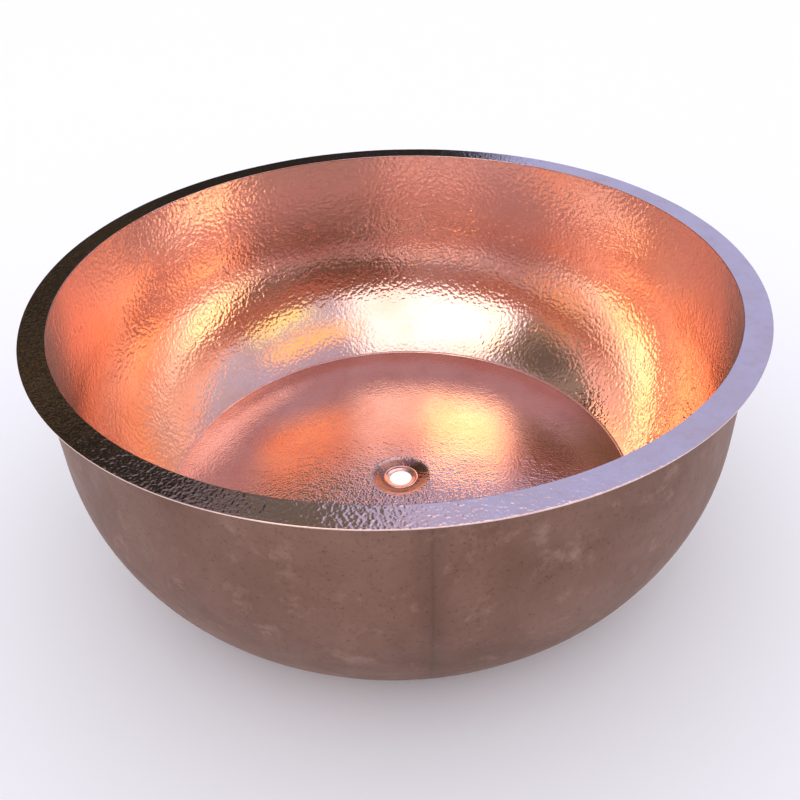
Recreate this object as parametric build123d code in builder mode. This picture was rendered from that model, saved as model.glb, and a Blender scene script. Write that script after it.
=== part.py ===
from build123d import *
from math import asin, cos, degrees, radians, sin, sqrt
import os

# Round double-walled copper soaking tub, in millimetres, +Z up.
# The origin is on the ground under the middle of the drain.

# ---- whole tub ----
rim_diameter = 1524.0
height = 610.0
floor_height = 54.0  # wet face of the floor above the ground

# ---- rim ----
rim_width = 52.0
rim_thickness = 3.0
rim_edge_radius = 1.0  # broken edges of the rim band
rim_segments = 8

# ---- inner wall: straight at the top, then one arc down to the floor ----
wall_sheet = 2.0
wall_bend_height = 388.0  # where the arc begins, above the ground
wall_arc_radius = 462.0  # to the wet face
wall_panels = 8

# ---- floor ----
floor_sheet = 2.0
weld_bead_width = 6.0
weld_bead_height = 1.2

# ---- dished drain ----
drain_hole_diameter = 54.0
collar_diameter = 86.0
collar_thickness = 6.0
collar_seat_width = 11.0  # flat ring round the hole that a drain flange beds on
collar_seat_slope = 2.0  # width of the sloping side of that seat
collar_seat_depth = 2.0
dish_diameter = 146.0
dish_depth = 6.0

# ---- outer skin: follows the wall's line, its arc about the same upright line of centres ----
skin_sheet = 1.6
rim_overhang = 30.5  # rim edge past the skin
skin_bend_drop = 7.0  # the skin's arc begins this far below the wall's
skin_panels = 4

# ---- foot: flat copper strip under the skin's bottom edge ----
foot_width = 36.0
foot_sheet = 1.6

# ---- hidden steelwork ----
steel_gap = 0.3  # steel clear of the curved copper sheets
hoop_thickness = 5.0
rib_thickness = 6.0
rib_count = 8
base_ring_width = 42.0
base_ring_thickness = 6.0
bearer_thickness = 6.0
drain_hoop_diameter = 240.0
drain_hoop_thickness = 6.0

# ---- joints between sheets, turned so that no two lie over each other ----
skin_seam_angle = -85.5  # the first upright seam of the skin
wall_seam_shift = 15.0
rim_seam_shift = 30.0

# ---- worked out ----
rim_top = height
rim_under = rim_top - rim_thickness
rim_outer = rim_diameter / 2
wall_inner = rim_outer - rim_width
skin_outer = rim_outer - rim_overhang
skin_arc_radius = wall_arc_radius + skin_outer - wall_inner
skin_bend_height = wall_bend_height - skin_bend_drop
floor_top = floor_height
floor_under = floor_top - floor_sheet
foot_top = foot_sheet
ring_top = foot_top + base_ring_thickness
hoop_under = rim_under - hoop_thickness


class WallLine:
    """Half section of a wall's outer or inner face: upright, then an arc that leans in."""

    def __init__(self, radius, bend_z, arc_radius):
        self.radius = radius
        self.bend_z = bend_z
        self.arc_radius = arc_radius
        self.centre_r = radius - arc_radius

    def offset(self, distance):
        """The same line moved outwards by distance, or inwards if it is negative."""
        return WallLine(self.radius + distance, self.bend_z, self.arc_radius + distance)

    def angle_at(self, z):
        """How far round the arc the line has turned at height z, in degrees."""
        return degrees(asin((self.bend_z - z) / self.arc_radius))

    def radius_at(self, z):
        if z >= self.bend_z:
            return self.radius
        drop = self.bend_z - z
        return self.centre_r + sqrt(self.arc_radius**2 - drop**2)

    def point_at(self, z):
        return (self.radius_at(z), z)

    def middle_of_arc(self, z):
        """The arc's point halfway from its start to height z."""
        half = radians(self.angle_at(z) / 2)
        return (self.centre_r + self.arc_radius * cos(half), self.bend_z - self.arc_radius * sin(half))


wet_face = WallLine(wall_inner, wall_bend_height, wall_arc_radius)
wall_back = wet_face.offset(wall_sheet)
skin_face = WallLine(skin_outer, skin_bend_height, skin_arc_radius)
skin_back = skin_face.offset(-skin_sheet)
rib_inner_line = wall_back.offset(steel_gap)
rib_outer_line = skin_back.offset(-steel_gap)

floor_radius = wet_face.radius_at(floor_top)
floor_edge = wall_back.radius_at(floor_top)
dish_bottom = floor_top - dish_depth
dish_radius = dish_diameter / 2
collar_radius = collar_diameter / 2
hole_radius = drain_hole_diameter / 2
foot_outer = skin_face.radius_at(foot_top)
ring_outer = skin_back.radius_at(foot_top) - steel_gap
ring_inner = ring_outer - base_ring_width
drain_hoop_outer = drain_hoop_diameter / 2


def save(part, name):
    part.label = name
    export_step(part, f"parts/{name}.step")


def wall_outline(outer, inner, top, bottom):
    """Closed section between two wall lines, from height top down to height bottom."""
    Line(outer.point_at(top), (outer.radius, outer.bend_z))
    ThreePointArc((outer.radius, outer.bend_z), outer.middle_of_arc(bottom), outer.point_at(bottom))
    Line(outer.point_at(bottom), inner.point_at(bottom))
    ThreePointArc(inner.point_at(bottom), inner.middle_of_arc(bottom), (inner.radius, inner.bend_z))
    Line((inner.radius, inner.bend_z), inner.point_at(top))
    Line(inner.point_at(top), outer.point_at(top))


def section_plane(angle):
    """Upright plane through the tub's axis, with its x pointing out at this angle."""
    outwards = (cos(radians(angle)), sin(radians(angle)), 0)
    sideways = (sin(radians(angle)), -cos(radians(angle)), 0)
    return Plane(origin=(0, 0, 0), x_dir=outwards, z_dir=sideways)


os.makedirs("parts", exist_ok=True)

# ---- rim: equal lengths of a flat band, butted end to end ----
rim_sweep = 360 / rim_segments
for i in range(rim_segments):
    start = skin_seam_angle + rim_seam_shift + i * rim_sweep
    with BuildPart() as rim_segment:
        with BuildSketch(section_plane(start)) as band:
            with Locations(((wall_inner + rim_outer) / 2, (rim_under + rim_top) / 2)):
                Rectangle(rim_width, rim_thickness)
            fillet(band.vertices().group_by(Axis.Z)[-1], rim_edge_radius)
        revolve(axis=Axis.Z, revolution_arc=rim_sweep)
    save(rim_segment.part, f"rim_segment_{i + 1}")

# ---- inner wall: the wet bowl, hammered from equal panels ----
wall_sweep = 360 / wall_panels
for i in range(wall_panels):
    start = skin_seam_angle + wall_seam_shift + i * wall_sweep
    with BuildPart() as wall_panel:
        with BuildSketch(section_plane(start)):
            with BuildLine():
                wall_outline(wall_back, wet_face, rim_under, floor_top)
            make_face()
        revolve(axis=Axis.Z, revolution_arc=wall_sweep)
    save(wall_panel.part, f"inner_wall_panel_{i + 1}")

# ---- floor: flat sheet, pressed down in one smooth S round the drain ----
dish_middle = (collar_radius + dish_radius) / 2
with BuildPart() as tub_floor:
    with BuildSketch(Plane.XZ):
        with BuildLine():
            for drop in (0, floor_sheet):
                Spline(
                    (dish_radius, floor_top - drop),
                    (dish_middle, (floor_top + dish_bottom) / 2 - drop),
                    (collar_radius, dish_bottom - drop),
                    tangents=((-1, 0), (-1, 0)),
                )
                Line((floor_edge, floor_top - drop), (dish_radius, floor_top - drop))
            Line((floor_edge, floor_top), (floor_edge, floor_under))
            Line((collar_radius, dish_bottom), (collar_radius, dish_bottom - floor_sheet))
        make_face()
    revolve(axis=Axis.Z)
save(tub_floor.part, "tub_floor")

# ---- weld bead: the corner between floor and wall, filled from the wet side ----
bead_half = weld_bead_width / 2
bead_top_z = floor_top + bead_half * cos(radians(wet_face.angle_at(floor_top)))
bead_outer = wet_face.point_at(bead_top_z)
bead_inner = (floor_radius - bead_half, floor_top)
bead_lean = Vector(*bead_outer) - Vector(*bead_inner)
bead_rise = Vector(-bead_lean.Y, bead_lean.X).normalized() * weld_bead_height
bead_crown = [Vector(*bead_inner) + bead_lean * share + bead_rise for share in (0.25, 0.75)]
with BuildPart() as weld_bead:
    with BuildSketch(Plane.XZ):
        with BuildLine():
            Polyline(bead_inner, *bead_crown, bead_outer, (floor_radius, floor_top), close=True)
        make_face()
    revolve(axis=Axis.Z)
save(weld_bead.part, "floor_weld_bead")

# ---- drain collar: thick ring brazed into the dish, its seat sunk for a drain flange ----
seat_radius = hole_radius + collar_seat_width
seat_z = dish_bottom - collar_seat_depth
with BuildPart() as drain_collar:
    with BuildSketch(Plane.XZ):
        with BuildLine():
            Polyline(
                (collar_radius, dish_bottom - collar_thickness),
                (collar_radius, dish_bottom),
                (seat_radius + collar_seat_slope, dish_bottom),
                (seat_radius, seat_z),
                (hole_radius, seat_z),
                (hole_radius, dish_bottom - collar_thickness),
                close=True,
            )
        make_face()
    revolve(axis=Axis.Z)
save(drain_collar.part, "drain_collar")

# ---- outer skin: plain sheets, standing on the foot ring ----
skin_sweep = 360 / skin_panels
for i in range(skin_panels):
    start = skin_seam_angle + i * skin_sweep
    with BuildPart() as skin_panel:
        with BuildSketch(section_plane(start)):
            with BuildLine():
                wall_outline(skin_face, skin_back, rim_under, foot_top)
            make_face()
        revolve(axis=Axis.Z, revolution_arc=skin_sweep)
    save(skin_panel.part, f"outer_skin_panel_{i + 1}")


def flat_ring(outer_radius, inner_radius, bottom, thickness):
    """Section of a ring of square-edged bar, ready to revolve."""
    with Locations(((outer_radius + inner_radius) / 2, bottom + thickness / 2)):
        Rectangle(outer_radius - inner_radius, thickness)


# ---- foot ring: what the tub stands on ----
with BuildPart() as foot_ring:
    with BuildSketch(Plane.XZ):
        flat_ring(foot_outer, foot_outer - foot_width, 0, foot_sheet)
    revolve(axis=Axis.Z)
save(foot_ring.part, "foot_ring")

# ---- rim hoop: keeps the rim round and fills the gap between the walls under it ----
with BuildPart() as rim_hoop:
    with BuildSketch(Plane.XZ):
        flat_ring(rib_outer_line.radius, rib_inner_line.radius, hoop_under, hoop_thickness)
    revolve(axis=Axis.Z)
save(rim_hoop.part, "rim_hoop")

# ---- base ring: lies on the foot ring, inside the skin ----
with BuildPart() as base_ring:
    with BuildSketch(Plane.XZ):
        flat_ring(ring_outer, ring_inner, foot_top, base_ring_thickness)
    revolve(axis=Axis.Z)
save(base_ring.part, "base_ring")

# ---- drain hoop: the bearers meet on it, and the waste pipe passes through it ----
with BuildPart() as drain_hoop:
    with BuildSketch(Plane.XZ):
        flat_ring(drain_hoop_outer, drain_hoop_outer - drain_hoop_thickness, ring_top, floor_under - ring_top)
    revolve(axis=Axis.Z)
save(drain_hoop.part, "drain_hoop")

# ---- ribs and floor bearers: one of each in every bay, clear of the seams ----
bay = 360 / rib_count
for i in range(rib_count):
    bay_middle = skin_seam_angle + (i + 0.5) * bay
    with BuildPart() as rib:
        with BuildSketch(section_plane(bay_middle)):
            with BuildLine():
                Line(rib_outer_line.point_at(hoop_under), (rib_outer_line.radius, rib_outer_line.bend_z))
                ThreePointArc(
                    (rib_outer_line.radius, rib_outer_line.bend_z),
                    rib_outer_line.middle_of_arc(ring_top),
                    rib_outer_line.point_at(ring_top),
                )
                Polyline(
                    rib_outer_line.point_at(ring_top),
                    (ring_inner, ring_top),
                    (ring_inner, floor_under),
                    (rib_inner_line.radius_at(floor_top), floor_under),
                    rib_inner_line.point_at(floor_top),
                )
                ThreePointArc(
                    rib_inner_line.point_at(floor_top),
                    rib_inner_line.middle_of_arc(floor_top),
                    (rib_inner_line.radius, rib_inner_line.bend_z),
                )
                Line((rib_inner_line.radius, rib_inner_line.bend_z), rib_inner_line.point_at(hoop_under))
                Line(rib_inner_line.point_at(hoop_under), rib_outer_line.point_at(hoop_under))
            make_face()
        extrude(amount=rib_thickness / 2, both=True)
    save(rib.part, f"rib_{i + 1}")

    with BuildPart() as floor_bearer:
        with BuildSketch(section_plane(bay_middle)):
            flat_ring(ring_inner, drain_hoop_outer, ring_top, floor_under - ring_top)
        extrude(amount=bearer_thickness / 2, both=True)
    save(floor_bearer.part, f"floor_bearer_{i + 1}")
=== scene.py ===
import bpy
from math import asin, cos, hypot, pi, radians, sin, sqrt
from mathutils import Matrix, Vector


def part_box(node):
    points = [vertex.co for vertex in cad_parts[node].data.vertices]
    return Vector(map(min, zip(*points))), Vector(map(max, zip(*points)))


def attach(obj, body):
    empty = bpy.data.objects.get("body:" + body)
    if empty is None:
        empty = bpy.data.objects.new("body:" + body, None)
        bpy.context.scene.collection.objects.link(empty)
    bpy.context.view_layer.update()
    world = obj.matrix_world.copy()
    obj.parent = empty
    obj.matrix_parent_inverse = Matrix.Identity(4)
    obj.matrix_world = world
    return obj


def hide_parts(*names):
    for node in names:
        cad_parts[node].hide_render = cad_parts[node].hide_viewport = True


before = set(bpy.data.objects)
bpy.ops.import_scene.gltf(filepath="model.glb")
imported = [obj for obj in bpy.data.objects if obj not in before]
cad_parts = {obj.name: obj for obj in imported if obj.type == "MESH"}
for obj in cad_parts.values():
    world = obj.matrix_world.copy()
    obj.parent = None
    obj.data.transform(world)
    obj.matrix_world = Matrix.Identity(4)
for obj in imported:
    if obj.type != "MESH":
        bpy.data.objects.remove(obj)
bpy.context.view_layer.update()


def mm(value):
    return value / 1000.0


# sRGB hex to the linear colour that shaders use
def hexColour(code):
    parts = [int(code[i:i + 2], 16) / 255.0 for i in (1, 3, 5)]
    return tuple(c / 12.92 if c <= 0.04045 else ((c + 0.055) / 1.055) ** 2.4 for c in parts) + (1.0,)


def smoothStep(value, low, high):
    t = min(max((value - low) / (high - low), 0.0), 1.0)
    return t * t * (3 - 2 * t)


def deselectAll():
    if bpy.context.object and bpy.context.object.mode != "OBJECT":
        bpy.ops.object.mode_set(mode="OBJECT")
    bpy.ops.object.select_all(action="DESELECT")


def makeActive(piece):
    deselectAll()
    piece.select_set(True)
    bpy.context.view_layer.objects.active = piece


# leaves the vertices that pass the test selected, in edit mode
def selectVertices(piece, test):
    bpy.ops.object.mode_set(mode="EDIT")
    bpy.ops.mesh.select_mode(type="VERT")
    bpy.ops.mesh.select_all(action="DESELECT")
    bpy.ops.object.mode_set(mode="OBJECT")
    for v in piece.data.vertices:
        v.select = test(v.co)
    bpy.ops.object.mode_set(mode="EDIT")


# Adds one shader node: settings are its own properties, inputs its sockets' values or links.
# An input is named as the socket is, with _ for a space, or n and the socket's number.
def addNode(tree, kind, settings=None, **inputs):
    node = tree.nodes.new(kind)
    for key, value in (settings or {}).items():
        setattr(node, key, value)
    for key, value in inputs.items():
        numbered = key[0] == "n" and key[1:].isdigit()
        socket = node.inputs[int(key[1:]) if numbered else key.replace("_", " ")]
        if isinstance(value, bpy.types.NodeSocket):
            tree.links.new(value, socket)
        else:
            socket.default_value = value
    return node


# Lines that several pieces follow. Heights come from the frame, radii are the tub's own.
tub = {
    "rimTop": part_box("rim_segment_1")[1][2],
    "rimUnder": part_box("rim_segment_1")[0][2],
    "rimOuter": mm(762),
    "wallInner": mm(710),
    "wallSheet": mm(2),
    "wallStraight": mm(222),  # rim top down to where the wall's arc begins
    "wallArc": mm(462),
    "skinOuter": mm(731.5),
    "skinSheet": mm(1.6),
    "skinStraight": mm(229),
    "skinArc": mm(483.5),
    "footTop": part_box("foot_ring")[1][2],
    "floorTop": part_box("inner_wall_panel_1")[0][2],
    "floorUnder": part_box("drain_hoop")[1][2],
    "seamAngle": radians(-85.5),  # the skin's front seam
}


# radius of a wall line at height z
def wallRadius(radius, straight, arc, z):
    drop = max(tub["rimTop"] - straight - z, 0.0)
    return radius - arc + sqrt(arc ** 2 - drop ** 2)


# points (r, z) down a wall line, about one step apart
def wallLine(radius, straight, arc, top, bottom, step):
    bend = tub["rimTop"] - straight
    count = max(1, round((top - bend) / step))
    points = [(radius, top + (bend - top) * i / count) for i in range(count)]
    turn = asin((bend - bottom) / arc)
    count = max(2, round(turn * arc / step))
    angles = [turn * i / count for i in range(count + 1)]
    return points + [(radius - arc + arc * cos(a), bend - arc * sin(a)) for a in angles]


# a new piece: one vertex extruded through the section's points, then closed
def drawSection(name, points):
    deselectAll()
    bpy.ops.mesh.primitive_plane_add(size=0.01, location=(0, 0, 0))
    piece = bpy.context.object
    piece.name = piece.data.name = name
    bpy.ops.object.mode_set(mode="EDIT")
    bpy.ops.mesh.merge(type="CENTER")
    bpy.ops.transform.translate(value=(points[0][0], 0, points[0][1]))
    for (x0, z0), (x1, z1) in zip(points, points[1:]):
        bpy.ops.mesh.extrude_vertices_move(TRANSFORM_OT_translate={"value": (x1 - x0, 0, z1 - z0)})
    ends = [Vector((x, 0, z)) for x, z in (points[0], points[-1])]
    selectVertices(piece, lambda co: min((co - end).length for end in ends) < mm(0.001))
    bpy.ops.mesh.edge_face_add()
    return piece


# turns the open section about the tub's axis, from the angle start through sweep
def spinSection(piece, start, sweep, steps):
    bpy.ops.mesh.select_all(action="SELECT")
    bpy.ops.transform.rotate(value=-start, orient_axis="Z", center_override=(0, 0, 0))
    bpy.ops.mesh.spin(steps=steps, angle=-sweep, center=(0, 0, 0), axis=(0, 0, 1))
    bpy.ops.mesh.select_all(action="SELECT")
    bpy.ops.mesh.remove_doubles(threshold=mm(0.01))
    bpy.ops.mesh.normals_make_consistent(inside=False)
    bpy.ops.object.mode_set(mode="OBJECT")


# copies of a spun piece, each with its own mesh, turned round the tub's axis
def turnedCopies(piece, stem, count):
    pieces = [piece]
    for i in range(1, count):
        copy = piece.copy()
        copy.data = piece.data.copy()
        copy.name = copy.data.name = f"{stem}{i + 1}"
        bpy.context.collection.objects.link(copy)
        copy.rotation_euler.z = 2 * pi * i / count
        makeActive(copy)
        bpy.ops.object.transform_apply(rotation=True)
        pieces.append(copy)
    return pieces


# fills the ends of a piece that was spun from start through sweep
def capEnds(piece, start, sweep):
    makeActive(piece)
    for angle in (start, start + sweep):
        side = Vector((-sin(angle), cos(angle), 0))
        out = Vector((cos(angle), sin(angle), 0))
        selectVertices(piece, lambda co: abs(co.dot(side)) < mm(0.4) and co.dot(out) > 0)
        bpy.ops.mesh.fill(use_beauty=True)
    bpy.ops.mesh.select_all(action="SELECT")
    bpy.ops.mesh.normals_make_consistent(inside=False)
    bpy.ops.object.mode_set(mode="OBJECT")


# a vertex group that holds weight(position) at each vertex
def markGroup(piece, name, weight):
    group = piece.vertex_groups.new(name=name)
    for v in piece.data.vertices:
        amount = weight(v.co)
        if amount > 0:
            group.add([v.index], amount, "REPLACE")
    return group.name


# Hammer blows. VORONOI makes round hollows that meet in low ridges, CLOUDS the slow waves of worked sheet.
def hammer(piece, blows, group=""):
    makeActive(piece)
    for blow in blows:
        texture = bpy.data.textures.new(f"{piece.name}Blows", type=blow["kind"])
        texture.noise_scale = blow["size"]
        if blow["kind"] == "VORONOI":
            texture.distance_metric = "DISTANCE_SQUARED"
        move = piece.modifiers.new("blows", "DISPLACE")
        move.texture = texture
        move.texture_coords = "LOCAL"
        move.direction = "NORMAL"
        move.mid_level = 0.5
        move.strength = blow["depth"]
        move.vertex_group = group
        bpy.ops.object.modifier_apply(modifier=move.name)


def finishPiece(piece, material, node, smooth=40):
    makeActive(piece)
    bpy.ops.object.shade_smooth_by_angle(angle=radians(smooth))
    piece.data.materials.clear()
    piece.data.materials.append(material)
    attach(piece, "root")
    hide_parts(node)
    deselectAll()


# a darker ring round the tub's axis, with a ragged outer edge
def darkenRing(tree, place, ragged, clean, mark):
    flat = addNode(tree, "ShaderNodeVectorMath", {"operation": "MULTIPLY"}, n0=place, n1=(1.0, 1.0, 0.0))
    out = addNode(tree, "ShaderNodeVectorMath", {"operation": "LENGTH"}, n0=flat.outputs[0])
    edge = addNode(tree, "ShaderNodeMath", {"operation": "MULTIPLY_ADD"}, n0=ragged, n1=mark["ragged"],
                   n2=out.outputs["Value"])
    cover = addNode(tree, "ShaderNodeMapRange", {"interpolation_type": "SMOOTHSTEP"}, Value=edge.outputs[0],
                    n1=mark["from"] + mark["ragged"] / 2, n2=mark["to"] + mark["ragged"] / 2,
                    n3=mark["strength"], n4=0.0)
    return addNode(tree, "ShaderNodeMix", {"data_type": "RGBA"}, n0=cover.outputs["Result"], n6=clean,
                   n7=hexColour(mark["colour"]))


# Solid copper: a metal that tints what it reflects, redder and duller where it has tarnished.
def copperMaterial(name, look):
    mat = bpy.data.materials.new(name)
    mat.use_nodes = True
    tree = mat.node_tree
    tree.nodes.clear()
    place = addNode(tree, "ShaderNodeTexCoord").outputs["Object"]
    patches = addNode(tree, "ShaderNodeTexNoise", Vector=place, Scale=1 / look["patchSize"],
                      Detail=5.0, Roughness=0.6)
    smudges = addNode(tree, "ShaderNodeTexNoise", Vector=place, Scale=1 / look["smudgeSize"],
                      Detail=6.0, Roughness=0.7)
    tone = addNode(tree, "ShaderNodeMapRange", Value=patches.outputs["Fac"], n1=0.35, n2=0.65)
    clean = addNode(tree, "ShaderNodeMix", {"data_type": "RGBA"}, n0=tone.outputs["Result"],
                    n6=hexColour(look["bright"]), n7=hexColour(look["warm"]))
    dull = addNode(tree, "ShaderNodeMapRange", Value=smudges.outputs["Fac"], n1=0.5, n2=0.78,
                   n4=look["smudge"])
    colour = addNode(tree, "ShaderNodeMix", {"data_type": "RGBA"}, n0=dull.outputs["Result"],
                     n6=clean.outputs[2], n7=hexColour(look["tarnish"]))
    metal = look["metal"]
    if "upper" in look:  # painted reflected light: towards the rim the colour turns a deeper orange and less metal, so the upper wall shows lighter there
        height = addNode(tree, "ShaderNodeSeparateXYZ", Vector=place)
        paintedRimReflection = addNode(tree, "ShaderNodeMapRange", {"interpolation_type": "SMOOTHSTEP"},
                         Value=height.outputs["Z"], n1=look["upperFrom"], n2=look["upperTo"])
        colour = addNode(tree, "ShaderNodeMix", {"data_type": "RGBA"}, n0=paintedRimReflection.outputs["Result"],
                         n6=colour.outputs[2], n7=hexColour(look["upper"]))
        metal = addNode(tree, "ShaderNodeMapRange", Value=paintedRimReflection.outputs["Result"], n3=look["metal"],
                        n4=look["upperMetal"]).outputs["Result"]
    # darkens a ragged ring round the drain
    if "darkRing" in look:
        colour = darkenRing(tree, place, smudges.outputs["Fac"], colour.outputs[2], look["darkRing"])
    rough = addNode(tree, "ShaderNodeMapRange", Value=smudges.outputs["Fac"], n1=0.3, n2=0.75,
                    n3=look["roughness"][0], n4=look["roughness"][1])
    peen = addNode(tree, "ShaderNodeTexVoronoi", {"feature": "SMOOTH_F1"}, Vector=place,
                   Scale=1 / look["peenSize"], Smoothness=0.4)
    peened = addNode(tree, "ShaderNodeBump", Height=peen.outputs["Distance"], Distance=look["peenDepth"])
    grain = addNode(tree, "ShaderNodeTexNoise", Vector=place, Scale=1 / look["grainSize"], Detail=3.0)
    grained = addNode(tree, "ShaderNodeBump", Height=grain.outputs["Fac"], Distance=look["grainDepth"],
                      Normal=peened.outputs["Normal"])
    shader = addNode(tree, "ShaderNodeBsdfPrincipled", Metallic=metal, Base_Color=colour.outputs[2],
                     Roughness=rough.outputs["Result"], Normal=grained.outputs["Normal"])
    addNode(tree, "ShaderNodeOutputMaterial", Surface=shader.outputs["BSDF"])
    return mat


# polished by hand after hammering: mirror-like, with the polish's faint haze; sizes are of tarnish
# patches, smudges, the polish's grain and the finest hammer marks
rimCopper = copperMaterial("polishedHammeredRimCopper", {
    "metal": 1.0, "bright": "#F4D8D0", "warm": "#EFCCBF", "tarnish": "#B07868", "smudge": 0.12,
    "patchSize": mm(120), "smudgeSize": mm(30), "roughness": (0.08, 0.15),
    "grainSize": mm(1.2), "grainDepth": mm(0.01), "peenSize": mm(4.5), "peenDepth": mm(0.12)})
wallCopper = copperMaterial("polishedHammeredWallCopper", {
    "metal": 0.90, "bright": "#F1CBB8", "warm": "#EDBDA2", "tarnish": "#C27F66", "smudge": 0.20,
    # the upper colour and its lower metal paint reflected light: a lighter, more orange band up towards the
    # rim
    "upper": "#F2B6A0", "upperMetal": 0.56, "upperFrom": mm(320), "upperTo": mm(595),
    "patchSize": mm(180), "smudgeSize": mm(60), "roughness": (0.06, 0.12),
    "grainSize": mm(1.5), "grainDepth": mm(0.01), "peenSize": mm(5.5), "peenDepth": mm(0.20)})
# rubbed with the feet and the scourer, and darker in a ragged ring round its drain
floorCopper = copperMaterial("satinHammeredFloorCopper", {
    "metal": 0.94, "bright": "#ECC6B8", "warm": "#E2B2A4", "tarnish": "#B47868", "smudge": 0.25,
    "patchSize": mm(220), "smudgeSize": mm(90), "roughness": (0.05, 0.09),
    "grainSize": mm(1.5), "grainDepth": mm(0.01), "peenSize": mm(5.5), "peenDepth": mm(0.42),
    "darkRing": {"from": mm(58), "to": mm(80), "ragged": mm(30), "strength": 0.85, "colour": "#7A4C3A"}})
# turned in a lathe, then left smooth
collarCopper = copperMaterial("turnedSmoothCollarCopper", {
    "metal": 1.0, "bright": "#F2C6B6", "warm": "#E9B09C", "tarnish": "#A5604E", "smudge": 0.30,
    "patchSize": mm(40), "smudgeSize": mm(9), "roughness": (0.14, 0.26),
    "grainSize": mm(0.8), "grainDepth": mm(0.006), "peenSize": mm(5), "peenDepth": mm(0.006)})
# wire-brushed after welding
weldCopper = copperMaterial("brushedWeldCopper", {
    "metal": 0.9, "bright": "#F6D6CA", "warm": "#EDC0AE", "tarnish": "#8C5142", "smudge": 0.40,
    "patchSize": mm(50), "smudgeSize": mm(12), "roughness": (0.22, 0.40),
    "grainSize": mm(0.8), "grainDepth": mm(0.03), "peenSize": mm(3), "peenDepth": mm(0.05)})


# Unpolished copper sheet gone brown in the air: an oxide film that scatters, thin enough to keep some sheen.
def skinMaterial():
    look = {"brown": "#896657", "rust": "#735040", "pale": "#AC8F80", "dark": "#402B22", "metal": 0.55,
            "cloudSize": mm(260), "stainSize": mm(70), "speckSize": mm(7), "speckDepth": mm(0.08),
            "roughness": (0.42, 0.62), "seamWidth": mm(9), "seamDarkness": 0.22, "streakWidth": mm(45),
            "streakDarkness": 0.20}
    mat = bpy.data.materials.new("brownPatinaCopperSheet")
    mat.use_nodes = True
    tree = mat.node_tree
    tree.nodes.clear()
    place = addNode(tree, "ShaderNodeTexCoord").outputs["Object"]
    clouds = addNode(tree, "ShaderNodeTexNoise", Vector=place, Scale=1 / look["cloudSize"], Detail=6.0,
                     Roughness=0.62, Distortion=0.4)
    stains = addNode(tree, "ShaderNodeTexNoise", Vector=place, Scale=1 / look["stainSize"], Detail=8.0,
                     Roughness=0.7)
    specks = addNode(tree, "ShaderNodeTexNoise", Vector=place, Scale=1 / look["speckSize"], Detail=4.0,
                     Roughness=0.8)
    tone = addNode(tree, "ShaderNodeMapRange", Value=clouds.outputs["Fac"], n1=0.35, n2=0.65)
    base = addNode(tree, "ShaderNodeMix", {"data_type": "RGBA"}, n0=tone.outputs["Result"],
                   n6=hexColour(look["brown"]), n7=hexColour(look["rust"]))
    paleMask = addNode(tree, "ShaderNodeMapRange", Value=stains.outputs["Fac"], n1=0.55, n2=0.75, n4=0.7)
    pale = addNode(tree, "ShaderNodeMix", {"data_type": "RGBA"}, n0=paleMask.outputs["Result"],
                   n6=base.outputs[2], n7=hexColour(look["pale"]))
    darkMask = addNode(tree, "ShaderNodeMapRange", Value=specks.outputs["Fac"], n1=0.56, n2=0.72, n4=0.8)
    specked = addNode(tree, "ShaderNodeMix", {"data_type": "RGBA"}, n0=darkMask.outputs["Result"],
                      n6=pale.outputs[2], n7=hexColour(look["dark"]))
    # distance from the nearest of the four upright seams: half the radius times the sine of twice the turn
    way = addNode(tree, "ShaderNodeSeparateXYZ", Vector=place)
    turn = addNode(tree, "ShaderNodeMath", {"operation": "ARCTAN2"}, n0=way.outputs["Y"], n1=way.outputs["X"])
    twice = addNode(tree, "ShaderNodeMath", {"operation": "MULTIPLY_ADD"}, n0=turn.outputs[0], n1=2.0,
                    n2=-2 * tub["seamAngle"])
    side = addNode(tree, "ShaderNodeMath", {"operation": "SINE"}, n0=twice.outputs[0])
    apart = addNode(tree, "ShaderNodeMath", {"operation": "ABSOLUTE"}, n0=side.outputs[0])
    wander = addNode(tree, "ShaderNodeMath", {"operation": "MULTIPLY_ADD"}, n0=stains.outputs["Fac"],
                     n1=look["seamWidth"] * 1.5, n2=-look["seamWidth"] * 0.5)
    away = addNode(tree, "ShaderNodeMath", {"operation": "MULTIPLY_ADD"}, n0=apart.outputs[0],
                   n1=tub["skinOuter"] / 2, n2=wander.outputs[0])
    streak = addNode(tree, "ShaderNodeMapRange", {"interpolation_type": "SMOOTHSTEP"}, Value=away.outputs[0],
                     n1=0.0, n2=look["streakWidth"], n3=look["streakDarkness"], n4=0.0)
    line = addNode(tree, "ShaderNodeMapRange", {"interpolation_type": "SMOOTHSTEP"}, Value=away.outputs[0],
                   n1=0.0, n2=look["seamWidth"], n3=look["seamDarkness"], n4=0.0)
    seamMask = addNode(tree, "ShaderNodeMath", {"operation": "ADD"}, n0=streak.outputs["Result"],
                       n1=line.outputs["Result"])
    colour = addNode(tree, "ShaderNodeMix", {"data_type": "RGBA"}, n0=seamMask.outputs[0],
                     n6=specked.outputs[2], n7=hexColour(look["dark"]))
    rough = addNode(tree, "ShaderNodeMapRange", Value=stains.outputs["Fac"], n1=0.3, n2=0.7,
                    n3=look["roughness"][0], n4=look["roughness"][1])
    bump = addNode(tree, "ShaderNodeBump", Height=specks.outputs["Fac"], Distance=look["speckDepth"])
    shader = addNode(tree, "ShaderNodeBsdfPrincipled", Metallic=look["metal"], Base_Color=colour.outputs[2],
                     Roughness=rough.outputs["Result"], Normal=bump.outputs["Normal"])
    addNode(tree, "ShaderNodeOutputMaterial", Surface=shader.outputs["BSDF"])
    return mat


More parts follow.
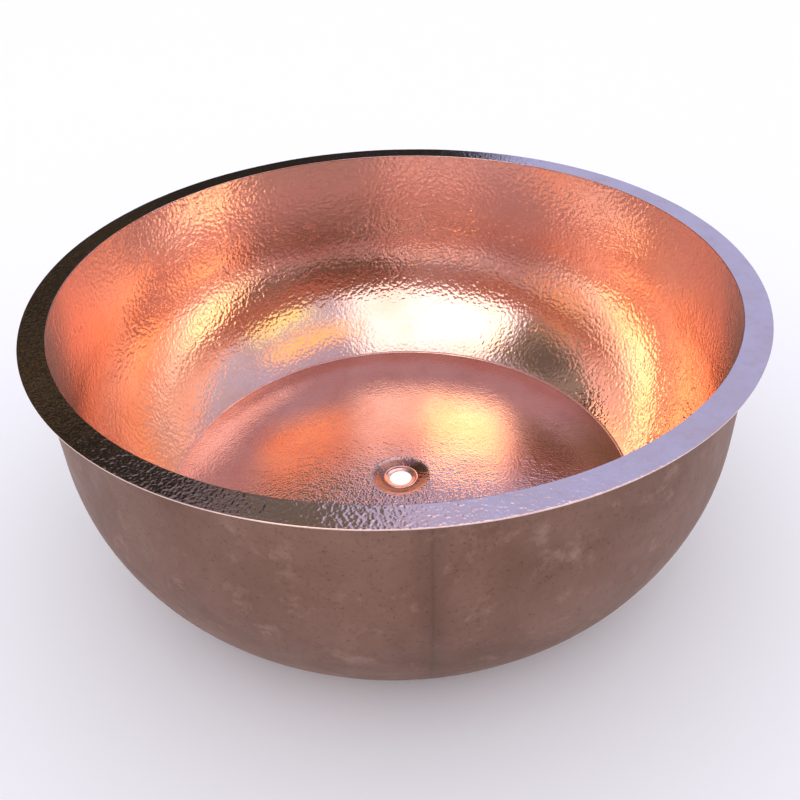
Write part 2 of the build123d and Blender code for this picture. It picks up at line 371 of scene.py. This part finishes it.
# Flat bar steel under black primer: brushed on, dull, with rust starting where it is thin.
def steelMaterial():
    look = {"primer": "#232325", "rust": "#4A3026", "patchSize": mm(40), "roughness": (0.42, 0.7),
            "brushDepth": mm(0.3)}
    mat = bpy.data.materials.new("blackPrimedFlatBarSteel")
    mat.use_nodes = True
    tree = mat.node_tree
    tree.nodes.clear()
    place = addNode(tree, "ShaderNodeTexCoord").outputs["Object"]
    cover = addNode(tree, "ShaderNodeTexNoise", Vector=place, Scale=1 / look["patchSize"], Detail=8.0,
                    Roughness=0.7)
    thin = addNode(tree, "ShaderNodeMapRange", Value=cover.outputs["Fac"], n1=0.62, n2=0.72, n4=0.8)
    colour = addNode(tree, "ShaderNodeMix", {"data_type": "RGBA"}, n0=thin.outputs["Result"],
                     n6=hexColour(look["primer"]), n7=hexColour(look["rust"]))
    rough = addNode(tree, "ShaderNodeMapRange", Value=cover.outputs["Fac"], n3=look["roughness"][0],
                    n4=look["roughness"][1])
    bump = addNode(tree, "ShaderNodeBump", Height=cover.outputs["Fac"], Distance=look["brushDepth"])
    shader = addNode(tree, "ShaderNodeBsdfPrincipled", Metallic=0.0, Base_Color=colour.outputs[2],
                     Roughness=rough.outputs["Result"], Normal=bump.outputs["Normal"])
    addNode(tree, "ShaderNodeOutputMaterial", Surface=shader.outputs["BSDF"])
    return mat


skinCopper = skinMaterial()
primedSteel = steelMaterial()

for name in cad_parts:
    node = bpy.data.objects[name]
    node.data.materials.clear()
    node.data.materials.append(skinCopper if name == "foot_ring" else primedSteel)
print("materials made")


# the rim: lengths of flat band, hammered all over
rim = {
    "count": 8,
    "firstJoint": tub["seamAngle"] + radians(30),
    "step": mm(1.5),
    "underStep": mm(8),
    "edgeRadius": mm(0.6),
    "blows": [
        {"kind": "CLOUDS", "size": 0.16, "depth": mm(0.9)},
        {"kind": "VORONOI", "size": mm(6.5), "depth": mm(0.36)},
    ],
}


# the band's section: its four corners rounded, its two faces in short steps
def rimSection():
    low, high, r = tub["rimUnder"], tub["rimTop"], rim["edgeRadius"]
    left, right = tub["wallInner"] + r, tub["rimOuter"] - r
    top, under = [[left + (right - left) * i / count for i in range(1, count)] for count in
                  (round((right - left) / rim["step"]), round((right - left) / rim["underStep"]))]

    def corner(x, z, start):
        turns = [start - pi / 2 * i / 3 for i in range(4)]
        return [(x + r * cos(a), z + r * sin(a)) for a in turns]

    upper = corner(left, high - r, pi) + [(x, high) for x in top] + corner(right, high - r, pi / 2)
    lower = corner(right, low + r, 0) + [(x, low) for x in under[::-1]] + corner(left, low + r, -pi / 2)
    return upper + lower


def makeRim():
    sweep = 2 * pi / rim["count"]
    first = drawSection("rimSegment1", rimSection())
    spinSection(first, rim["firstJoint"], sweep, round(sweep * tub["rimOuter"] / rim["step"]))
    for i, piece in enumerate(turnedCopies(first, "rimSegment", rim["count"])):
        hammer(piece, rim["blows"])
        capEnds(piece, rim["firstJoint"] + i * sweep, sweep)
        finishPiece(piece, rimCopper, f"rim_segment_{i + 1}")


makeRim()
print("rim made")


# the inner wall: hammered on the wet side, plain behind
wall = {
    "count": 8,
    "firstSeam": tub["seamAngle"] + radians(15),
    "step": mm(2.3),
    "backStep": mm(25),
    "blows": [
        {"kind": "CLOUDS", "size": 0.20, "depth": mm(1.6)},
        {"kind": "VORONOI", "size": mm(8.5), "depth": mm(0.62)},
    ],
}


def makeWall():
    line = (tub["wallInner"], tub["wallStraight"], tub["wallArc"])
    back = (line[0] + tub["wallSheet"], line[1], line[2] + tub["wallSheet"])
    wet = wallLine(*line, tub["rimUnder"], tub["floorTop"], wall["step"])
    dry = wallLine(*back, tub["rimUnder"], tub["floorTop"], wall["backStep"])
    sweep = 2 * pi / wall["count"]
    first = drawSection("wallPanel1", wet + dry[::-1])
    spinSection(first, wall["firstSeam"], sweep, round(sweep * line[0] / wall["step"]))
    wetSide = markGroup(first, "wetSide", lambda co: hypot(co.x, co.y) < wallRadius(*line, co.z) + mm(0.6))
    for i, piece in enumerate(turnedCopies(first, "wallPanel", wall["count"])):
        hammer(piece, wall["blows"], wetSide)
        capEnds(piece, wall["firstSeam"] + i * sweep, sweep)
        finishPiece(piece, wallCopper, f"inner_wall_panel_{i + 1}")


makeWall()
print("inner wall made")


# the floor: one round sheet, pressed down round the drain
floor = {
    "topRings": 107,
    "underRings": 22,
    "around": 720,
    "dishRadius": mm(73),
    "dishDepth": mm(6),
    "openRadius": mm(37),  # inside the collar
    "blows": [
        {"kind": "CLOUDS", "size": 0.22, "depth": mm(1.8)},
        {"kind": "VORONOI", "size": mm(11), "depth": mm(0.35)},
    ],
}

# the drain collar: turned smooth, with a rounded lip and a sunk seat
collar = {
    "radius": mm(43),
    "holeRadius": mm(27),
    "thickness": mm(6),
    "lipWidth": mm(5),
    "lipHeight": mm(1.4),
    "slopeAt": mm(6),  # in from the rim of the collar, where the lip ends
    "slopeDrop": mm(1.3),
    "seatAt": mm(7.5),
    "seatDepth": mm(2),
    "mouthRound": mm(1.4),
    "edgeRound": mm(0.4),
    "around": 160,
}


def makeFloor():
    edge = wallRadius(tub["wallInner"] + tub["wallSheet"], tub["wallStraight"],
                      tub["wallArc"] + tub["wallSheet"], tub["floorTop"])
    inner, rounded, sheet = floor["openRadius"], collar["radius"], tub["floorTop"] - tub["floorUnder"]

    def topAt(r):
        return tub["floorTop"] - floor["dishDepth"] * (1 - smoothStep(r, rounded, floor["dishRadius"]))

    def ring(count):
        return [inner + (edge - inner) * i / count for i in range(count + 1)]

    top = [(r, topAt(r)) for r in ring(floor["topRings"])]
    under = [(r, topAt(r) - sheet) for r in ring(floor["underRings"])]
    piece = drawSection("tubFloor", top + under[::-1])
    spinSection(piece, 0, 2 * pi, floor["around"])

    def worked(co):
        out = hypot(co.x, co.y)
        upper = co.z > topAt(out) - sheet / 2
        begins, ends = smoothStep(out, rounded, rounded + mm(5)), smoothStep(out, edge - mm(28), edge - mm(8))
        return upper * begins * (1 - ends)

    hammer(piece, floor["blows"], markGroup(piece, "worked", worked))
    finishPiece(piece, floorCopper, "tub_floor")


makeFloor()
print("floor made")


# the weld bead round the floor
bead = {
    "across": mm(7),
    "height": mm(3.2),
    "lift": mm(0.4),
    "around": 1500,
    "section": 12,
    "ripples": [
        {"kind": "VORONOI", "size": mm(5), "depth": mm(0.5)},
        {"kind": "CLOUDS", "size": mm(60), "depth": mm(0.8)},
    ],
}


def makeBead():
    radius = wallRadius(tub["wallInner"], tub["wallStraight"], tub["wallArc"], tub["floorTop"])
    deselectAll()
    bpy.ops.mesh.primitive_torus_add(major_radius=radius, minor_radius=bead["across"] / 2,
                                     major_segments=bead["around"], minor_segments=bead["section"],
                                     location=(0, 0, tub["floorTop"] + bead["lift"]))
    piece = bpy.context.object
    piece.name = piece.data.name = "floorWeldBead"
    bpy.ops.object.mode_set(mode="EDIT")
    bpy.ops.mesh.select_all(action="SELECT")
    bpy.ops.transform.resize(value=(1, 1, bead["height"] / bead["across"]))
    bpy.ops.object.mode_set(mode="OBJECT")
    bpy.ops.object.transform_apply(location=True)
    hammer(piece, bead["ripples"])
    finishPiece(piece, weldCopper, "floor_weld_bead", smooth=60)


makeBead()


def makeCollar():
    top = tub["floorTop"] - floor["dishDepth"]
    low = top - collar["thickness"]
    seat = top - collar["seatDepth"]
    outer, hole = collar["radius"], collar["holeRadius"]
    half = collar["lipWidth"] / 2
    turns = [pi * i / 10 for i in range(11)]
    lip = [(outer - half + half * cos(a), top + collar["lipHeight"] * sin(a)) for a in turns]
    soft, small = collar["mouthRound"], collar["edgeRound"]
    slope = [(outer - collar["slopeAt"], top - collar["slopeDrop"]), (outer - collar["seatAt"], seat)]
    mouth = [(hole + soft, seat), (hole + small, seat - small), (hole, seat - soft)]
    under = [(hole, low + small), (hole + small, low), (outer - small, low), (outer, low + small)]
    piece = drawSection("drainCollar", lip + slope + mouth + under)
    spinSection(piece, 0, 2 * pi, collar["around"])
    finishPiece(piece, collarCopper, "drain_collar", smooth=50)


makeCollar()
print("bead and collar made")


# the outer skin: plain sheets with the slow waves of a body made by hand
skin = {
    "count": 4,
    "step": mm(9),
    "backStep": mm(30),
    "seamDepth": mm(0.25),
    "waves": [
        {"kind": "CLOUDS", "size": 0.30, "depth": mm(1.6)},
        {"kind": "CLOUDS", "size": 0.07, "depth": mm(0.4)},
    ],
}


def makeSkin():
    line = (tub["skinOuter"], tub["skinStraight"], tub["skinArc"])
    back = (line[0] - tub["skinSheet"], line[1], line[2] - tub["skinSheet"])
    face = wallLine(*line, tub["rimUnder"], tub["footTop"], skin["step"])
    inside = wallLine(*back, tub["rimUnder"], tub["footTop"], skin["backStep"])
    sweep = 2 * pi / skin["count"]
    first = drawSection("skinPanel1", face + inside[::-1])
    spinSection(first, tub["seamAngle"], sweep, round(sweep * line[0] / skin["step"]))

    def waved(co):
        if hypot(co.x, co.y) < wallRadius(*line, co.z) - mm(0.6):
            return 0.0
        low, high = tub["footTop"], tub["rimUnder"]
        return smoothStep(co.z, low, low + mm(60)) * (1 - smoothStep(co.z, high - mm(60), high))

    outside = markGroup(first, "outside", waved)
    seam = first.modifiers.new("seam", "DISPLACE")
    seam.strength = -skin["seamDepth"]
    seam.mid_level = 0.0
    ends = (tub["seamAngle"], tub["seamAngle"] + sweep)
    seam.vertex_group = markGroup(first, "seam", lambda co: waved(co) * any(
        abs(co.y * cos(a) - co.x * sin(a)) < mm(0.5) for a in ends))
    makeActive(first)
    bpy.ops.object.modifier_apply(modifier=seam.name)
    for i, piece in enumerate(turnedCopies(first, "skinPanel", skin["count"])):
        hammer(piece, skin["waves"], outside)
        capEnds(piece, tub["seamAngle"] + i * sweep, sweep)
        finishPiece(piece, skinCopper, f"outer_skin_panel_{i + 1}")


makeSkin()
print("skin made")


studio = {
    "floorSize": 40.0,
    "floorColours": ("#FAF9F6", "#F7F6F3"),
    "cardRadius": mm(105),  # a lit card under the drain, so that the open hole is bright
    "cardStrength": 1.2,
}


def makeStudio():
    deselectAll()
    bpy.ops.mesh.primitive_plane_add(size=studio["floorSize"], location=(0, 0, -mm(0.5)))
    ground = bpy.context.object
    ground.name = "studioFloor"
    paint = bpy.data.materials.new("palePaintedStudioFloor")
    paint.use_nodes = True
    tree = paint.node_tree
    shader = tree.nodes["Principled BSDF"]
    shader.inputs["Roughness"].default_value = 0.9
    shader.inputs["Specular IOR Level"].default_value = 0.1
    grain = addNode(tree, "ShaderNodeTexNoise", Scale=3.0, Detail=3.0)
    tone = addNode(tree, "ShaderNodeMix", {"data_type": "RGBA"}, n0=grain.outputs["Fac"],
                   n6=hexColour(studio["floorColours"][0]), n7=hexColour(studio["floorColours"][1]))
    tree.links.new(tone.outputs[2], shader.inputs["Base Color"])
    ground.data.materials.append(paint)

    bpy.ops.mesh.primitive_circle_add(vertices=48, radius=studio["cardRadius"], fill_type="NGON",
                                      location=(0, 0, -mm(0.2)))
    card = bpy.context.object
    card.name = "litCard"
    glow = bpy.data.materials.new("whiteLitCard")
    glow.use_nodes = True
    tree = glow.node_tree
    tree.nodes.clear()
    light = addNode(tree, "ShaderNodeEmission", Color=hexColour("#FFFFFF"), Strength=studio["cardStrength"])
    addNode(tree, "ShaderNodeOutputMaterial", Surface=light.outputs[0])
    card.data.materials.append(glow)


makeStudio()
print("studio made")

# What the polished copper reflects: soft patches of light and dark on a lavender sky, each later one over
# those before it. Matt surfaces and the studio floor get an even light, and the camera sees near-white.
sky = {
    "low": "#DCDEFF",
    "high": "#C4C4F2",
    "evenLight": "#F2F2FF",
    "evenStrength": 1.2,
    "backdrop": "#FCFCFD",
    # at: degrees from +Y towards +X, and degrees up; half: half its width and height; soft: its edges' blur
    "patches": {
        "brightHaze": {"at": (35, 60), "half": (46, 11), "soft": (8, 4), "colour": "#F4ECFF", "level": 1.8},
        "whiteSky": {"at": (-164, 37), "half": (38, 24), "soft": (9, 8), "colour": "#EEF2FF", "level": 2.2},
        "sunCloud": {"at": (-150, 36), "half": (17, 11), "soft": (7, 5), "colour": "#FFF6D0", "level": 5.2},
        "greyTrees": {"at": (-97, 33), "half": (26, 17), "soft": (5, 5), "colour": "#9A928C", "level": 0.9},
        "darkTrees": {"at": (-102, 36), "half": (12, 9), "soft": (5, 5), "colour": "#5E5C57", "level": 1.0},
        "darkWall": {"at": (-45, 25), "half": (30, 18), "soft": (3, 3), "colour": "#27261F", "level": 1.0},
        "greyWall": {"at": (-10, 39), "half": (6, 9), "soft": (1.5, 4), "colour": "#6E6762", "level": 1.0},
        "canopy": {"at": (-40, 52), "half": (36, 8), "soft": (6, 4), "colour": "#6F6A54", "level": 1.0},
        "blueSky": {"at": (34, 28), "half": (33, 20), "soft": (6, 8), "colour": "#BACBFF", "level": 0.97},
        "farWall": {"at": (-28, 19), "half": (34, 13), "soft": (2, 4), "colour": "#2B2A26", "level": 1.0},
        "wallLedge": {"at": (-32, 31), "half": (14, 1), "soft": (4, 1.5), "colour": "#6A6046", "level": 1.0},
        "wallKerb": {"at": (-32, 20), "half": (14, 1), "soft": (4, 1.5), "colour": "#6A6046", "level": 1.0},
        "yellowSky": {"at": (127, 22), "half": (14, 5), "soft": (6, 4), "colour": "#FFF3A8", "level": 1.7},
        "orangeCloud": {"at": (134, 39), "half": (22, 5), "soft": (10, 4), "colour": "#FFC486", "level": 2.0},
        "warmBrick": {"at": (110, 9), "half": (60, 7), "soft": (15, 4), "colour": "#C08468", "level": 1.0},
        "warmBank": {"at": (-95, 9), "half": (50, 7), "soft": (15, 4), "colour": "#C08468", "level": 1.0},
    },
}


def makeSky():
    world = bpy.data.worlds.new("softSkyLight")
    bpy.context.scene.world = world
    world.cycles.sampling_method = "NONE"
    world.use_nodes = True
    tree = world.node_tree
    tree.nodes.clear()
    place = addNode(tree, "ShaderNodeTexCoord").outputs["Generated"]
    way = addNode(tree, "ShaderNodeSeparateXYZ", Vector=place)
    azimuth = addNode(tree, "ShaderNodeMath", {"operation": "ARCTAN2"}, n0=way.outputs["X"],
                      n1=way.outputs["Y"])
    elevation = addNode(tree, "ShaderNodeMath", {"operation": "ARCSINE"}, n0=way.outputs["Z"])
    rise = addNode(tree, "ShaderNodeMapRange", {"interpolation_type": "SMOOTHSTEP"}, Value=way.outputs["Z"],
                   n1=0.3, n2=0.9)
    colour = addNode(tree, "ShaderNodeMix", {"data_type": "RGBA"}, n0=rise.outputs["Result"],
                     n6=hexColour(sky["low"]), n7=hexColour(sky["high"])).outputs[2]
    for name, patch in sky["patches"].items():
        masks = []
        for angle, axis in ((azimuth, 0), (elevation, 1)):
            away = addNode(tree, "ShaderNodeMath", {"operation": "SUBTRACT"}, n0=angle.outputs[0],
                           n1=radians(patch["at"][axis]))
            turned = addNode(tree, "ShaderNodeMath", {"operation": "WRAP"}, n0=away.outputs[0], n1=pi, n2=-pi)
            size = addNode(tree, "ShaderNodeMath", {"operation": "ABSOLUTE"}, n0=turned.outputs[0])
            half, soft = radians(patch["half"][axis]), radians(patch["soft"][axis])
            masks.append(addNode(tree, "ShaderNodeMapRange", {"interpolation_type": "SMOOTHSTEP"},
                                 Value=size.outputs[0], n1=half - soft, n2=half + soft, n3=1.0, n4=0.0))
        both = addNode(tree, "ShaderNodeMath", {"operation": "MULTIPLY"}, n0=masks[0].outputs["Result"],
                       n1=masks[1].outputs["Result"])
        lit = tuple(c * patch["level"] for c in hexColour(patch["colour"])[:3]) + (1.0,)
        colour = addNode(tree, "ShaderNodeMix", {"data_type": "RGBA", "label": name},
                         n0=both.outputs[0], n6=colour, n7=lit).outputs[2]
    path = addNode(tree, "ShaderNodeLightPath")
    reflected = addNode(tree, "ShaderNodeBackground", Color=colour, Strength=1.0)
    even = addNode(tree, "ShaderNodeBackground", Color=hexColour(sky["evenLight"]),
                   Strength=sky["evenStrength"])
    plain = addNode(tree, "ShaderNodeBackground", Color=hexColour(sky["backdrop"]), Strength=1.0)
    lit = addNode(tree, "ShaderNodeMixShader", n0=path.outputs["Is Diffuse Ray"], n1=reflected.outputs[0],
                  n2=even.outputs[0])
    seen = addNode(tree, "ShaderNodeMixShader", n0=path.outputs["Is Camera Ray"], n1=lit.outputs[0],
                   n2=plain.outputs[0])
    addNode(tree, "ShaderNodeOutputWorld", Surface=seen.outputs[0])


makeSky()
print("sky made")

camera = {
    "distance": 1.8881,  # from the middle of the rim
    "pitch": 0.4875,  # how far it is above the rim's plane, in radians
    "turn": 0.0189,  # round the tub, to bring the skin's front seam where it is seen
    "aimX": 0.0053,  # the point it looks at, beside the tub's axis and below the rim
    "aimBelowRim": 0.3245,
    "roll": -0.0365,
    "lens": 39.51,
}


def makeCamera():
    data = bpy.data.cameras.new("portraitCamera")
    data.lens = camera["lens"]
    data.sensor_width = 36.0
    eye = bpy.data.objects.new("portraitCamera", data)
    bpy.context.collection.objects.link(eye)
    away, up = camera["distance"] * cos(camera["pitch"]), camera["distance"] * sin(camera["pitch"])
    stand = Vector((0, -away, tub["rimTop"] + up))
    aim = Vector((camera["aimX"], 0, tub["rimTop"] - camera["aimBelowRim"])) - stand
    eye.location = (away * sin(camera["turn"]), -away * cos(camera["turn"]), tub["rimTop"] + up)
    eye.rotation_euler = aim.to_track_quat("-Z", "Y").to_euler()
    eye.rotation_euler.z += camera["turn"]
    eye.rotation_euler.rotate_axis("Z", camera["roll"])
    bpy.context.scene.camera = eye


makeCamera()
bpy.context.scene.view_settings.view_transform = "Standard"

print("scene ready")
